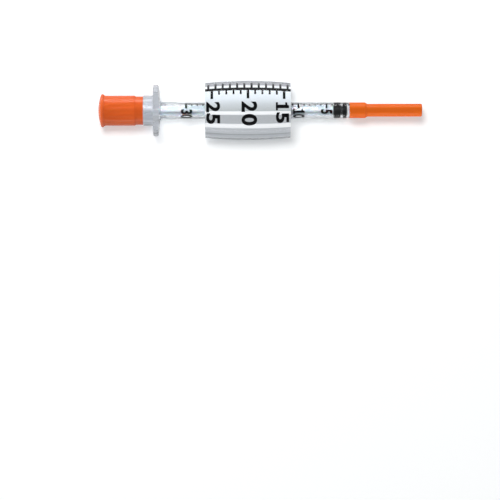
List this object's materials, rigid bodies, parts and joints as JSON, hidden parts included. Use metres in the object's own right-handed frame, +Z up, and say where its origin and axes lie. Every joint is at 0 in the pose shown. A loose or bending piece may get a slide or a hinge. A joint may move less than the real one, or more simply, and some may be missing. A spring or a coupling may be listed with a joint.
{
  "type": "insulin syringe",
  "caption": "Slim capped insulin syringe with a clear graduated barrel, ribbed plunger, fixed needle, orange cap and shield, and a clip-on scale magnifier.",
  "frame": {"origin": "middle of the object's length and width, on the surface that it lies on", "axes": "+X along the syringe towards the needle, +Z up, the way the scale faces"},
  "size_m": [0.0866, 0.016, 0.0127],
  "materials": {
    "clear_plastic": "clear polypropylene, moulded, smooth",
    "lens_plastic": "clear acrylic, polished",
    "film": "pale translucent polyester film",
    "orange_plastic": "orange polyethylene, moulded, satin",
    "rod_plastic": "natural polypropylene, moulded",
    "black_rubber": "moulded rubber with a silicone film",
    "needle_steel": "drawn stainless steel tube",
    "adhesive": "cured clear adhesive",
    "black_ink": "screen-printed black ink"
  },
  "bodies": {
    "barrel": {"barrel": "clear_plastic", "needle_cannula": "needle_steel", "needle_bond": "adhesive", "scale_baseline": "black_ink", "unit_marks": "black_ink", "half_unit_marks": "black_ink", "five_unit_marks": "black_ink", "numeral_05": "black_ink", "numeral_10": "black_ink", "numeral_15": "black_ink", "numeral_20": "black_ink", "numeral_25": "black_ink", "numeral_30": "black_ink"},
    "plunger": {"plunger_rod": "rod_plastic", "plunger_stopper": "black_rubber"},
    "plunger_cap": {"plunger_cap": "orange_plastic"},
    "needle_shield": {"needle_shield": "orange_plastic"},
    "magnifier": {"magnifier_lens": "lens_plastic", "magnifier_clip": "lens_plastic", "enlarged_scale_film": "film", "enlarged_baseline": "black_ink", "enlarged_unit_marks": "black_ink", "enlarged_half_unit_marks": "black_ink", "enlarged_five_unit_marks": "black_ink", "enlarged_numeral_15": "black_ink", "enlarged_numeral_20": "black_ink", "enlarged_numeral_25": "black_ink"}
  },
  "joints": [
    {"name": "plunger_slide", "type": "slide", "parent": "barrel", "child": "plunger", "axis": [-1, 0, 0], "range_m": [-0.00198, 0.0455]},
    {"name": "cap_pull", "type": "slide", "parent": "plunger", "child": "plunger_cap", "axis": [-1, 0, 0], "range_m": [0, 0.02]},
    {"name": "shield_pull", "type": "slide", "parent": "barrel", "child": "needle_shield", "axis": [1, 0, 0], "range_m": [0, 0.022]},
    {"name": "magnifier_slide", "type": "slide", "parent": "barrel", "child": "magnifier", "axis": [1, 0, 0], "range_m": [-0.0073, 0.0157]}
  ]
}
